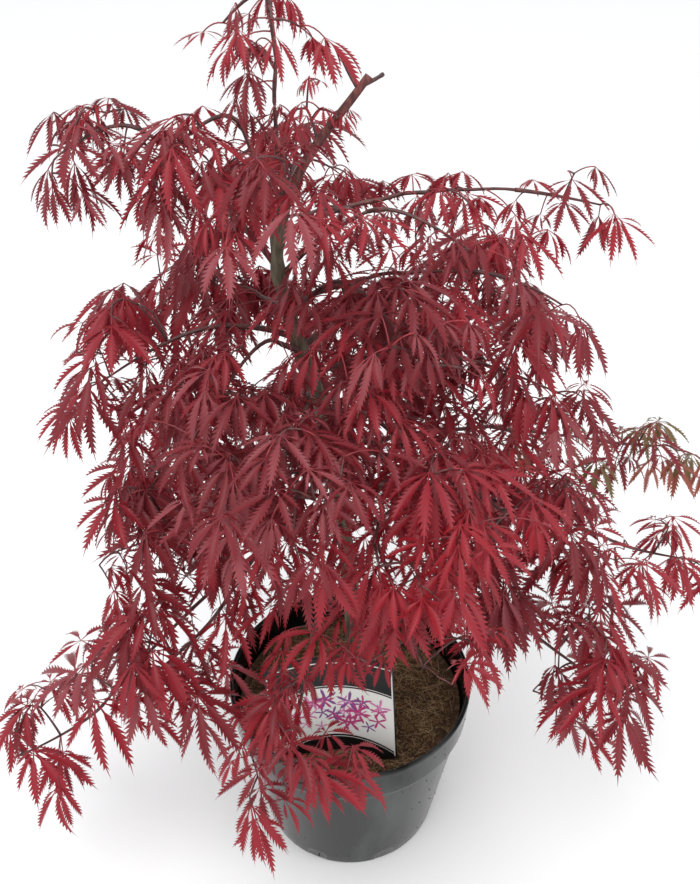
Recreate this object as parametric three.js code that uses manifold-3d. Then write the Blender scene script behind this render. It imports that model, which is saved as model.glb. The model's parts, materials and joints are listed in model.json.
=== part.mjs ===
// A laceleaf Japanese maple in a round nursery pot, in millimetres, +Z up.
// The origin is the middle of the pot's flat underside. Bearings are anticlockwise from +X, seen from above.
//
// A thin trunk leans out of the compost and ends in a pruned tip. Boughs leave it on all sides, arch over and
// bend down. Each carries one weeping mass of leaves: a stem that goes on from the bough's tip, stalks that
// branch from it by a seeded rule, and a five-lobed drooping leaf on the end of each stalk.
import * as THREE from "three";
import { mergeVertices } from "three/addons/utils/BufferGeometryUtils.js";
import Module from "manifold-3d";

const wasm = await Module();
wasm.setup();

// ---------------------------------------------------------------- driving dimensions

const GAP = 0.3; // clearance between pieces that touch
const SLIVER = 0.02; // detail that is finer than this is smoothed away
const POT = {
  height: 176,
  rimRadius: 112.5,
  footRadius: 84,
  wall: 2.5,
  floor: 3,
  bandHeight: 31, // the upright band under the rim
  bandStep: 3.5, // how far the band stands out of the body
  lip: 2, // how much wider the band is at the top than at its foot
  bevel: 3,
  segments: 30,
  slots: 8, // drainage slots through the bottom edge
  slotSize: [16, 15, 5],
  holes: 4, // drainage holes in the floor
  holeRadius: 6,
  holeCircle: 52,
};
const COMPOST = { top: 150, edgeDrop: 5, edgeWidth: 14, flatRadius: 30, room: 0.1, segments: 30 };
const LABEL = {
  width: 110,
  height: 121,
  thickness: 0.9,
  sunk: 16, // how much of it is pushed into the compost
  lean: 9, // degrees back from upright
  roll: 3, // degrees by which its right side stands higher
  bow: 15, // how far the side edges stand out before the middle
  foot: [-13, -62], // where its middle meets the compost
  corner: 6, // radius of the top corners
  tab: 0.45, // width of its lower end, as a share of the whole
};
const TRUNK = {
  // centreline: how far each point stands to the side and the back at a height
  line: [
    { height: COMPOST.top + GAP, side: 2, back: 16 },
    { height: 205, side: 4, back: 18 },
    { height: 330, side: -4, back: 16 },
    { height: 463, side: -20, back: 12 },
    { height: 558, side: -43, back: 4 },
    { height: 612, side: -50, back: 0 },
    { height: 664, side: -36, back: 2 },
    { height: 728, side: 12, back: 16 },
  ],
  flareRadius: 15, // at the compost
  footRadius: 8.5, // just above the root flare
  flareHeight: 38,
  tipRadius: 3.4,
  sides: 8,
  steps: 20,
};
const BOUGH = {
  baseRadius: 3.1,
  tipRadius: 1.5,
  arch: 0.2, // how far the bough arches up, as a share of its length
  inward: [0.6, 1.1], // how far short of its mass's middle it ends: of the way to the trunk, and of the spread
  rise: 0.45, // and how far above the middle, as a share of the hang
  sides: 5,
  steps: 4,
};
const STEM = {
  baseRadius: 1.8,
  tipRadius: 1.3,
  over: 0.6, // how far the stem goes straight on from the bough before it bends down, as a share of the spread
  reach: 0.7, // how far it ends beyond the middle, as a share of the spread
  sink: 0.3, // and how far below it, as a share of the hang
  below: 12, // a stem on the trunk starts this far below its mass's middle
  arch: 0.25,
  forks: 3, // places on each straight stretch of it where a stalk may grow
  bare: 4, // and how many of them stay bare next to the trunk
  sides: 4,
  steps: 3,
};
const LEAF = {
  lobes: [-112, -56, 0, 56, 112], // bearings from the leaf's heading, in degrees
  share: [0.66, 0.9, 1, 0.9, 0.66], // each lobe's length beside the middle one
  droop: 52, // how far the lobes hang below the level, in degrees
  notch: 0.36, // where two lobes part, as a share of the length
  notchDroop: 22,
  heel: [158, 0.07], // bearing and share of the two corners where the blade meets its stalk
  thickness: 3, // at the middle, where the stalk ends
  stalkRadius: 0.5, // at the root of the stalk, which lies on the middle line of what it grows on
  shortest: 10, // least length of a stalk
};
const GROWTH = {
  seed: 1000, // the first mass's stream of numbers
  seedStep: 77, // how far apart the next ones are
  deals: 100, // and how many of those steps there are from one deal to the next
  tries: 12, // places that are dealt for each leaf wanted
  turn: 137.508, // degrees from one place to the next
  fall: 0.618034, // share of the height from one place to the next
  lowest: 0.7, // how far below the middle the places reach, as a share of the way up
  inner: 0.5, // least distance from the mass's own axis, as a share of its spread
  outer: 1.1, // and the greatest
  overhang: 0.5, // how much of a leaf counts towards its mass's width
  drift: 40, // degrees by which a place may be turned on
  sizes: [1, 0.84, 0.7], // sizes that are tried where space is short
  turns: [0, 45, -45], // and how far the leaf is turned from its stalk's bearing
  core: 0.69, // how much of a leaf keeps clear of the rest of its mass: only tips may touch
  joint: 0.2, // how much of a stalk may touch what it grows on, as a share of its length
  fork: 0.5, // where a later stalk may branch from this one, as a share of its length
};
const CLEAR = 1; // how far leaves and twigs keep from the edge of their own space
const LIMB_CLEAR = 2.5; // from the surface of a limb
const POT_CLEAR = 4; // and from the pot and the label

// The masses. bearing and out give the middle from the pot's axis, height its height above the ground. spread and
// hang are the half width and half height over which the leaves' middles are dealt, leaf the length of the middle
// lobe, leaves how many leaves are wanted, deal the deal of numbers that it grows by, and fork the height at which
// the bough leaves the trunk. Those with no fork grow on the trunk itself.
const MASSES = [
  // name, bearing, out, height, spread, hang, leaf, leaves, deal, fork
  ["top_shoot", 180, 52, 764, 38, 16, 44, 9, 3, 640],
  ["trunk_tip", 140, 34, 708, 20, 18, 26, 6, 5],
  ["crown_front", 244, 86, 688, 42, 28, 62, 10, 0],
  ["crown_back", 114, 98, 640, 48, 30, 70, 10, 1],
  ["upper_left_tip", 181, 160, 690, 36, 26, 60, 9, 3, 600],
  ["upper_left", 197, 100, 692, 46, 28, 58, 10, 2, 622],
  ["inner_right", 325, 72, 640, 42, 30, 52, 10, 2, 592],
  ["right_shoulder", 344, 116, 602, 48, 40, 60, 11, 3, 570],
  ["upper_right_tip", 12, 160, 648, 36, 24, 52, 8, 3, 626],
  ["left_shoulder", 186, 154, 546, 44, 54, 70, 12, 5, 541],
  ["left_inner", 222, 110, 544, 44, 34, 66, 10, 2, 524],
  ["front_shoulder", 290, 86, 590, 50, 42, 66, 11, 5, 558],
  ["right_side", 356, 126, 512, 50, 42, 70, 11, 0, 506],
  ["right_tip", 14, 262, 408, 38, 22, 54, 8, 3, 430],
  ["lower_left", 188, 164, 374, 56, 54, 76, 12, 4, 448],
  ["front_left", 256, 136, 520, 62, 44, 72, 12, 3, 494],
  ["front_right", 293, 142, 496, 58, 46, 74, 12, 2, 468],
  ["lower_right", 343, 168, 394, 52, 50, 76, 12, 0, 438],
  ["low_right_tip", 0, 266, 332, 36, 24, 56, 8, 5, 400],
  ["right_skirt", 342, 210, 258, 48, 72, 78, 11, 0, 372],
  ["left_skirt_tip", 197, 278, 188, 46, 52, 70, 10, 3, 382],
  ["left_skirt", 211, 182, 296, 54, 62, 78, 12, 1, 414],
  ["pot_skirt", 253, 158, 268, 42, 70, 74, 12, 0, 356],
  ["front_skirt", 286, 150, 394, 48, 50, 74, 11, 0, 424],
  ["back_left", 136, 154, 532, 58, 52, 80, 12, 5, 552],
  ["back_right", 46, 164, 516, 60, 54, 80, 12, 1, 532],
  ["low_back_left", 142, 182, 348, 62, 60, 86, 12, 0, 402],
  ["low_back", 90, 190, 404, 62, 60, 86, 12, 4, 440],
  ["low_back_right", 40, 194, 306, 62, 60, 86, 12, 0, 390],
].map(([name, bearing, out, height, spread, hang, leaf, leaves, deal, fork]) => {
  return { name, bearing, out, height, spread, hang, leaf, leaves, deal, fork };
});

// ---------------------------------------------------------------- colours

const material = (color, roughness) => new THREE.MeshStandardMaterial({ color, roughness, metalness: 0 });
const BLACK_PLASTIC = material(0x1d1f20, 0.35);
const DARK_COMPOST = material(0x3a2a1e, 0.95);
const CARD = material(0x26282a, 0.45);
const GREY_BARK = material(0x5b5347, 0.85);
const RED_BARK = material(0x4a2b2a, 0.7);
const CRIMSON = material(0x7c1f2c, 0.6);

// ---------------------------------------------------------------- small helpers

const UP = new THREE.Vector3(0, 0, 1);
const radians = THREE.MathUtils.degToRad;
const level = (bearing) => new THREE.Vector3(Math.cos(radians(bearing)), Math.sin(radians(bearing)), 0);

// A seeded stream of numbers from 0 to 1, so that every build grows the same plant.
function stream(seed) {
  let state = seed >>> 0;
  return () => {
    state = (state + 0x6d2b79f5) >>> 0;
    let mixed = Math.imul(state ^ (state >>> 15), state | 1);
    mixed ^= mixed + Math.imul(mixed ^ (mixed >>> 7), mixed | 61);
    return ((mixed ^ (mixed >>> 14)) >>> 0) / 4294967296;
  };
}

// A solid from a closed three.js geometry.
function solidOf(geometry) {
  const bare = new THREE.BufferGeometry().setAttribute("position", geometry.getAttribute("position"));
  bare.setIndex(geometry.index);
  const merged = mergeVertices(bare, 1e-3);
  return solidFrom(merged.attributes.position.array, merged.index.array);
}

function solidFrom(positions, triangles) {
  const vertProperties = Float32Array.from(positions);
  return new wasm.Manifold(
    new wasm.Mesh({ numProp: 3, vertProperties, triVerts: Uint32Array.from(triangles) }),
  );
}

const mainBody = (solid) => solid.decompose().sort((a, b) => b.volume() - a.volume())[0];

function geometryOf(solid) {
  const { vertProperties, triVerts } = solid.getMesh();
  const geometry = new THREE.BufferGeometry();
  geometry.setAttribute("position", new THREE.BufferAttribute(vertProperties, 3));
  geometry.setIndex(new THREE.BufferAttribute(triVerts, 1));
  return geometry;
}

// A solid as it is handed over. Slivers where leaves meet are smoothed away. Only the largest body is kept, so
// loose scraps and sealed hollows drop out: first those of the solid itself, then any that the welding of its
// closest points shuts off.
const finished = (solid) => mainBody(solidOf(geometryOf(mainBody(solid).simplify(SLIVER))));

// True if the solid has no pinched edge: each edge is shared by two faces, with points at one place taken as one.
function isSound(solid) {
  const { vertProperties, triVerts } = solid.getMesh();
  const place = (i) => Array.from(vertProperties.slice(3 * i, 3 * i + 3), (x) => x.toFixed(4)).join();
  const places = Array.from({ length: vertProperties.length / 3 }, (_, i) => place(i));
  const edges = new Map();
  for (let i = 0; i < triVerts.length; i++) {
    const next = i % 3 === 2 ? i - 2 : i + 1;
    const edge = [places[triVerts[i]], places[triVerts[next]]].sort().join("|");
    edges.set(edge, (edges.get(edge) ?? 0) + 1);
  }
  return [...edges.values()].every((faces) => faces === 2);
}

function meshOf(name, solid, finish) {
  const geometry = geometryOf(finished(solid));
  geometry.computeVertexNormals();
  const mesh = new THREE.Mesh(geometry, finish);
  mesh.name = name;
  return mesh;
}

// A round solid about the Z axis, from a profile of [radius, height] that starts and ends on the axis.
function turned(profile, segments) {
  const points = profile.map(([radius, height]) => new THREE.Vector2(radius, height));
  return solidOf(new THREE.LatheGeometry(points, segments).rotateX(Math.PI / 2));
}

// A tapering limb: rings of a regular polygon carried along a curve and closed by a fan at each end.
// radiusAt takes the share of the way along. With levelFoot the first ring is level.
function limb(curve, radiusAt, sides, steps, levelFoot = false) {
  const frames = curve.computeFrenetFrames(steps, false);
  const positions = [];
  for (let i = 0; i <= steps; i++) {
    const centre = curve.getPointAt(i / steps);
    const isLevel = levelFoot && i === 0;
    const across = isLevel ? level(0) : frames.normals[i];
    const over = isLevel ? level(90) : frames.binormals[i];
    for (let k = 0; k < sides; k++) {
      const angle = (2 * Math.PI * k) / sides;
      const point = centre
        .clone()
        .addScaledVector(across, radiusAt(i / steps) * Math.cos(angle))
        .addScaledVector(over, radiusAt(i / steps) * Math.sin(angle));
      positions.push(point.x, point.y, point.z);
    }
  }
  const triangles = [];
  const ring = (i, k) => i * sides + (k % sides);
  for (let i = 0; i < steps; i++)
    for (let k = 0; k < sides; k++)
      triangles.push(
        ...[ring(i, k), ring(i, k + 1), ring(i + 1, k + 1)],
        ...[ring(i, k), ring(i + 1, k + 1), ring(i + 1, k)],
      );
  for (let k = 1; k < sides - 1; k++)
    triangles.push(ring(0, 0), ring(0, k + 1), ring(0, k), ring(steps, 0), ring(steps, k), ring(steps, k + 1));
  return solidFrom(positions, triangles);
}

const joined = (solids) => wasm.Manifold.union(solids);
const taper = (from, to) => (share) => from + (to - from) * share;

// The points of a curve as line pieces, each with the limb's radius there, for the clearance tests.
function linesAlong(curve, radiusAt, steps) {
  const points = curve.getSpacedPoints(steps);
  return points.slice(1).map((to, i) => ({ from: points[i], to, radius: radiusAt(i / steps) }));
}

// Places along a limb's straight stretches, with so many to each, up to its tip.
function placesAlong(curve, steps, each) {
  const rings = curve.getSpacedPoints(steps);
  const shares = Array.from({ length: each }, (_, k) => (k + 1) / each);
  return rings.slice(1).flatMap((to, i) => shares.map((share) => rings[i].clone().lerp(to, share)));
}

// Least distance between two line pieces.
function distanceBetween(a, b, c, d) {
  const u = b.clone().sub(a);
  const v = d.clone().sub(c);
  const w = a.clone().sub(c);
  const uu = u.dot(u);
  const uv = u.dot(v);
  const vv = v.dot(v);
  const uw = u.dot(w);
  const vw = v.dot(w);
  const cross = uu * vv - uv * uv;
  const clamp = THREE.MathUtils.clamp;
  let s = cross > 1e-9 ? clamp((uv * vw - vv * uw) / cross, 0, 1) : 0;
  const t = clamp((uv * s + vw) / vv, 0, 1);
  s = clamp((uv * t - uw) / uu, 0, 1);
  return w.addScaledVector(u, s).addScaledVector(v, -t).length();
}

// ---------------------------------------------------------------- pot, compost and label

// The tapering body with its upright band, bead and floor, less the drainage slots and holes.
function potSolid() {
  const { height, rimRadius, footRadius, wall, floor, bandHeight, bandStep, lip, bevel } = POT;
  const bandFoot = height - bandHeight;
  const bodyTop = rimRadius - lip - bandStep;
  const profile = [
    [0, 0],
    [footRadius - bevel, 0],
    [footRadius, bevel],
    [bodyTop, bandFoot - lip],
    [rimRadius - lip, bandFoot],
    [rimRadius, height - bevel],
    [rimRadius, height],
    [rimRadius - wall - lip, height],
    [bodyTop - wall, bandFoot - bevel],
    [footRadius - wall - 1, floor],
    [0, floor],
  ];
  const cutters = [];
  for (let i = 0; i < POT.slots; i++) {
    const turn = (360 * (i + 0.5)) / POT.slots;
    const middle = level(turn).multiplyScalar(footRadius);
    const slot = new THREE.BoxGeometry(...POT.slotSize).rotateZ(radians(turn));
    cutters.push(solidOf(slot.translate(middle.x, middle.y, 0)));
  }
  for (let i = 0; i < POT.holes; i++) {
    const middle = level((360 * i) / POT.holes).multiplyScalar(POT.holeCircle);
    const hole = new THREE.CylinderGeometry(POT.holeRadius, POT.holeRadius, 4 * floor, 8).rotateX(Math.PI / 2);
    cutters.push(solidOf(hole.translate(middle.x, middle.y, 0)));
  }
  return turned(profile, POT.segments).subtract(joined(cutters));
}

// The pot's inner radius at a height, less the clearance.
function innerRadius(height) {
  const bandFoot = POT.height - POT.bandHeight - POT.bevel;
  const top = POT.rimRadius - POT.lip - POT.bandStep - POT.wall;
  const foot = POT.footRadius - POT.wall - 1;
  if (height < bandFoot) return foot + ((top - foot) * (height - POT.floor)) / (bandFoot - POT.floor) - GAP;
  const rim = POT.rimRadius - POT.wall - POT.lip;
  return top + ((rim - top) * (height - bandFoot)) / (POT.height - bandFoot) - GAP;
}

// The root ball: it fills the pot, level round the trunk and a little lower at the wall.
function compostSolid() {
  const foot = POT.floor + GAP;
  const bend = POT.height - POT.bandHeight - POT.bevel;
  const edge = COMPOST.top - COMPOST.edgeDrop;
  const profile = [
    [0, foot],
    [innerRadius(foot) - COMPOST.room, foot],
    [innerRadius(bend) - COMPOST.room, Math.min(bend, edge - 1)],
    [innerRadius(edge) - COMPOST.room, edge],
    [innerRadius(edge) - COMPOST.edgeWidth, edge + 1],
    [COMPOST.flatRadius, COMPOST.top],
    [0, COMPOST.top],
  ];
  return turned(profile, COMPOST.segments);
}

// A bowed card that stands in the compost on a narrower tab. grown is added all round, for the slit that it
// stands in.
function labelSolid(grown) {
  const half = LABEL.width / 2 + grown;
  const low = -LABEL.sunk - grown;
  const high = LABEL.height - LABEL.sunk;
  const outline = new THREE.Shape();
  outline.moveTo(-half, 0);
  outline.lineTo(-half * LABEL.tab, low);
  outline.lineTo(half * LABEL.tab, low);
  outline.lineTo(half, 0);
  outline.lineTo(half, high - LABEL.corner);
  outline.quadraticCurveTo(half, high, half - LABEL.corner, high);
  outline.lineTo(LABEL.corner - half, high);
  outline.quadraticCurveTo(-half, high, -half, high - LABEL.corner);
  return bowedCard(outline, LABEL.thickness / 2 + grown)
    .rotate([0, 0, LABEL.roll])
    .rotate([90 - LABEL.lean, 0, 0])
    .translate([...LABEL.foot, COMPOST.top]);
}

// The outline cut from a sheet that is bowed across its width: both side edges come forward by LABEL.bow.
function bowedCard(outline, halfThickness) {
  const arc = (side) => LABEL.bow * (side / (LABEL.width / 2)) ** 2;
  const reach = LABEL.width / 2 + LABEL.corner;
  const steps = 8;
  const sides = Array.from({ length: steps + 1 }, (_, i) => reach * ((2 * i) / steps - 1));
  const section = [
    ...sides.map((side) => new THREE.Vector2(side, arc(side) - halfThickness)),
    ...sides.reverse().map((side) => new THREE.Vector2(side, arc(side) + halfThickness)),
  ];
  const length = 3 * LABEL.height;
  const sheet = new THREE.ExtrudeGeometry(new THREE.Shape(section), { depth: length, bevelEnabled: false });
  sheet.rotateX(Math.PI / 2).translate(0, length / 2, 0);
  const depth = 4 * LABEL.bow;
  const block = new THREE.ExtrudeGeometry(outline, { depth, bevelEnabled: false, curveSegments: 3 });
  return solidOf(sheet).intersect(solidOf(block.translate(0, 0, -LABEL.bow)));
}

// ---------------------------------------------------------------- trunk and boughs

const trunkCurve = new THREE.CatmullRomCurve3(
  TRUNK.line.map(({ side, back, height }) => new THREE.Vector3(side, back, height)),
);

// The trunk's radius: a flared foot, then an even taper to the pruned tip. grown is added all round.
function trunkRadius(grown = 0) {
  const length = trunkCurve.getLength();
  return (share) => {
    const flare = Math.max(0, 1 - (share * length) / TRUNK.flareHeight);
    const even = TRUNK.footRadius + (TRUNK.tipRadius - TRUNK.footRadius) * share;
    return even + (TRUNK.flareRadius - TRUNK.footRadius) * flare ** 2 + grown;
  };
}

// The share of the way up the trunk at which it reaches a height.
function trunkShareAt(height) {
  let low = 0;
  let high = 1;
  for (let i = 0; i < 30; i++) {
    const middle = (low + high) / 2;
    if (trunkCurve.getPointAt(middle).z < height) low = middle;
    else high = middle;
  }
  return low;
}

const centreOf = (mass) => level(mass.bearing).multiplyScalar(mass.out).setZ(mass.height);

// How wide a mass is held to be where it shares the space with a neighbour.
const widthOf = (mass) => mass.spread + GROWTH.overhang * mass.leaf;

// Each mass's own space: the side of a plane that is its own, for a plane between it and every other mass.
const spaces = MASSES.map((mass) => {
  const centre = centreOf(mass);
  return MASSES.filter((other) => other !== mass).map((other) => {
    const way = centreOf(other).sub(centre);
    const far = way.length();
    way.normalize();
    return { way, limit: way.dot(centre) + (far * widthOf(mass)) / (widthOf(mass) + widthOf(other)) };
  });
});
const inSpace = (space, point, margin) => space.every(({ way, limit }) => way.dot(point) < limit - margin);

// Where the bough enters its mass: on the trunk's side of the middle, in the upper half.
function entryOf(mass, space, start) {
  const centre = centreOf(mass);
  const toTrunk = start.clone().sub(centre).setZ(0);
  const inward = Math.min(toTrunk.length() * BOUGH.inward[0], mass.spread * BOUGH.inward[1]);
  const entry = centre.clone().addScaledVector(toTrunk.normalize(), inward);
  entry.addScaledVector(UP, mass.hang * BOUGH.rise);
  while (!inSpace(space, entry, 3 * CLEAR)) entry.lerp(centre, 0.12);
  return entry;
}

// A limb's line: it rises from its start, arches over and comes down to its end.
function archedLine(start, end, arch) {
  const rise = start.distanceTo(end) * arch;
  return new THREE.QuadraticBezierCurve3(start, start.clone().lerp(end, 0.5).addScaledVector(UP, rise), end);
}

// The line of each mass's bough, or of the first stretch of its stem where it grows on the trunk itself.
const plans = MASSES.map((mass, index) => {
  const onTrunk = mass.fork === undefined;
  const height = mass.fork ?? Math.min(mass.height - STEM.below, TRUNK.line.at(-1).height);
  const start = trunkCurve.getPointAt(mass.name === "trunk_tip" ? 1 : trunkShareAt(height));
  const entry = entryOf(mass, spaces[index], start);
  const line = archedLine(start, entry, BOUGH.arch);
  return { mass, index, onTrunk, start, entry, line, radiusAt: taper(BOUGH.baseRadius, BOUGH.tipRadius) };
});

const trunkSolid = limb(trunkCurve, trunkRadius(), TRUNK.sides, TRUNK.steps, true);
const trunkRoom = limb(trunkCurve, trunkRadius(GAP), TRUNK.sides, TRUNK.steps, true);
const boughSolid = (plan) => limb(plan.line, plan.radiusAt, BOUGH.sides, BOUGH.steps).subtract(trunkRoom);

const limbLines = [
  ...linesAlong(trunkCurve, trunkRadius(), TRUNK.steps),
  ...plans
    .filter((plan) => !plan.onTrunk)
    .flatMap((plan) => linesAlong(plan.line, plan.radiusAt, 2 * BOUGH.steps)),
];

// ---------------------------------------------------------------- masses of leaves

// True if a line piece with some room round it is clear of every limb.
function clearOfLimbs(from, to, room) {
  return limbLines.every(
    (line) => distanceBetween(from, to, line.from, line.to) > line.radius + room + LIMB_CLEAR,
  );
}

// True if a point is clear of the pot and of the label's bowed card.
function clearOfPot({ x, y, z }) {
  const besidePot = Math.hypot(x, y) > POT.rimRadius + POT_CLEAR || z > POT.height + POT_CLEAR;
  const besideLabel =
    z > COMPOST.top + LABEL.height + POT_CLEAR ||
    Math.abs(x - LABEL.foot[0]) > LABEL.width / 2 + 2 * POT_CLEAR ||
    Math.abs(y - LABEL.foot[1]) > LABEL.bow + 2 * POT_CLEAR;
  return besidePot && besideLabel;
}

// The corners of a leaf: its middle from above and below, the blade's edge from heel to heel with a tip and a
// notch in turn, and the four corners of its stalk's root.
function leafCorners(root, middle, heading, length) {
  const at = (bearing, share, droop) =>
    middle
      .clone()
      .addScaledVector(level(heading + bearing), length * share * Math.cos(radians(droop)))
      .addScaledVector(UP, -length * share * Math.sin(radians(droop)));
  const [heelBearing, heelShare] = LEAF.heel;
  const blade = [at(-heelBearing, heelShare, LEAF.notchDroop)];
  LEAF.lobes.forEach((bearing, i) => {
    if (i > 0) blade.push(at((bearing + LEAF.lobes[i - 1]) / 2, LEAF.notch, LEAF.notchDroop));
    blade.push(at(bearing, LEAF.share[i], LEAF.droop));
  });
  blade.push(at(heelBearing, heelShare, LEAF.notchDroop));

  const along = middle.clone().sub(root).normalize();
  const left = level(heading + 90).projectOnPlane(along).normalize();
  const over = along.clone().cross(left);
  const stalk = [over.clone().negate(), left, over, left.clone().negate()];
  return {
    top: middle.clone().addScaledVector(UP, LEAF.thickness / 2),
    bottom: middle.clone().addScaledVector(UP, -LEAF.thickness / 2),
    blade,
    foot: stalk.map((way) => root.clone().addScaledVector(way, LEAF.stalkRadius)),
  };
}

// A leaf: a low pyramid above and one below the zigzag edge of the blade, open at the heel, where a four-sided
// stalk goes on from it and tapers to its root.
function leafSolid({ top, bottom, blade, foot }) {
  const points = [top, bottom, ...blade, ...foot];
  const triangles = [];
  const first = 2;
  const last = first + blade.length - 1;
  for (let i = first; i < last; i++) triangles.push(0, i, i + 1, 1, i + 1, i);
  const heel = [0, last, 1, first];
  const root = [0, 1, 2, 3].map((i) => last + 1 + i);
  for (let i = 0; i < 4; i++) {
    const next = (i + 1) % 4;
    triangles.push(heel[i], heel[next], root[next], heel[i], root[next], root[i]);
  }
  triangles.push(root[0], root[1], root[2], root[0], root[2], root[3]);
  return solidFrom(points.flatMap(({ x, y, z }) => [x, y, z]), triangles);
}

// The stem of a mass: it goes on from the bough's tip, or from the trunk, through the mass and bends down.
function stemOf({ mass, onTrunk, start, entry, line }, centre, space) {
  const outward = centre.clone().sub(start).setZ(0).normalize();
  const end = centre.clone().addScaledVector(outward, mass.spread * STEM.reach);
  end.addScaledVector(UP, -mass.hang * STEM.sink);
  while (!inSpace(space, end, 3 * CLEAR)) end.lerp(centre, 0.15);
  if (onTrunk) return archedLine(start, end, STEM.arch);
  const tangent = line.getTangent(1);
  const from = entry.clone().addScaledVector(tangent, GAP);
  const over = from.clone().addScaledVector(tangent, mass.spread * STEM.over);
  while (!inSpace(space, over, 2 * CLEAR)) over.lerp(from, 0.2);
  return new THREE.QuadraticBezierCurve3(from, over, end);
}

// A place for a leaf's middle: from one to the next the height falls by a fixed share and the bearing turns.
function placeOf(i, mass, centre, random) {
  const rise = 1 - (1 + GROWTH.lowest) * ((i * GROWTH.fall) % 1);
  const width = GROWTH.inner + (GROWTH.outer - GROWTH.inner) * random();
  const wide = Math.sqrt(Math.max(0, 1 - rise * rise)) * width;
  const way = level(i * GROWTH.turn + GROWTH.drift * random());
  return centre.clone().addScaledVector(way, mass.spread * wide).addScaledVector(UP, mass.hang * rise);
}

// The first leaf, of the sizes and turns that are tried, which stays in the space and clear of all else.
function fittingLeaf(root, middle, mass, space, grown) {
  const bearing = THREE.MathUtils.radToDeg(Math.atan2(middle.y - root.y, middle.x - root.x));
  if (root.distanceTo(middle) < LEAF.shortest || !inSpace(space, middle, 2 * CLEAR)) return null;
  if (!clearOfLimbs(root, middle, LEAF.stalkRadius)) return null;
  const stalk = root.clone().lerp(middle, GROWTH.joint);
  for (const size of GROWTH.sizes)
    for (const turn of GROWTH.turns) {
      const leaf = leafCorners(root, middle, bearing + turn, mass.leaf * size);
      const fits =
        leaf.blade.every((corner) => inSpace(space, corner, CLEAR) && clearOfPot(corner)) &&
        leaf.blade.every((corner) => clearOfLimbs(middle, corner, LEAF.thickness));
      if (!fits) continue;
      const core = leafCorners(stalk, middle, bearing + turn, GROWTH.core * mass.leaf * size);
      if (grown.intersect(leafSolid(core)).isEmpty()) return leafSolid(leaf);
    }
  return null;
}

// What has grown with one more leaf, or null if that isn't one sound body.
function withLeaf(grown, leaf) {
  const both = grown.add(leaf);
  const larger = finished(both);
  const whole = larger.volume() > 0.99 * both.volume();
  return whole && isSound(larger) ? larger : null;
}

// One mass: places for leaves are dealt over its spread, and each is reached by a stalk from the nearest point
// that has already grown. What would leave the space or touch a limb is skipped.
function massSolid(plan) {
  const { mass, index, onTrunk } = plan;
  const random = stream(GROWTH.seed + GROWTH.seedStep * (index + GROWTH.deals * mass.deal));
  const space = spaces[index];
  const centre = centreOf(mass);
  const stem = stemOf(plan, centre, space);
  let grown = limb(stem, taper(STEM.baseRadius, STEM.tipRadius), STEM.sides, STEM.steps);
  const forks = placesAlong(stem, STEM.steps, STEM.forks).slice(onTrunk ? STEM.bare : 0);
  let leaves = 0;
  for (let i = 0; i < GROWTH.tries * mass.leaves && leaves < mass.leaves; i++) {
    const middle = placeOf(i, mass, centre, random);
    const root = forks.reduce((best, fork) =>
      fork.distanceTo(middle) < best.distanceTo(middle) ? fork : best,
    );
    const leaf = fittingLeaf(root, middle, mass, space, grown);
    const larger = leaf && withLeaf(grown, leaf);
    if (!larger) continue;
    grown = larger;
    forks.push(root.clone().lerp(middle, GROWTH.fork));
    leaves += 1;
  }
  return onTrunk ? grown.subtract(trunkRoom) : grown;
}

// ---------------------------------------------------------------- the plant

const plant = new THREE.Group();
plant.add(meshOf("pot", potSolid(), BLACK_PLASTIC));
plant.add(meshOf("compost", compostSolid().subtract(labelSolid(GAP)), DARK_COMPOST));
plant.add(meshOf("plant_label", labelSolid(0), CARD));
plant.add(meshOf("trunk", trunkSolid, GREY_BARK));
for (const plan of plans) {
  if (!plan.onTrunk) plant.add(meshOf(`bough_${plan.mass.name}`, boughSolid(plan), RED_BARK));
  plant.add(meshOf(`leaves_${plan.mass.name}`, massSolid(plan), CRIMSON));
}

export default plant;
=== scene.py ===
# %% [markdown]
# A laceleaf maple in a round nursery pot. The solids of the frame fix its size, its place and what it
# weighs. This notebook gives it its looks: bark, over a thousand cut leaves on fine red stalks, a dusty
# black pot, compost full of coir and a plant label. The plant's lengths are in millimetres and turn into
# metres in one helper.

import json
import math
from collections import namedtuple

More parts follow.
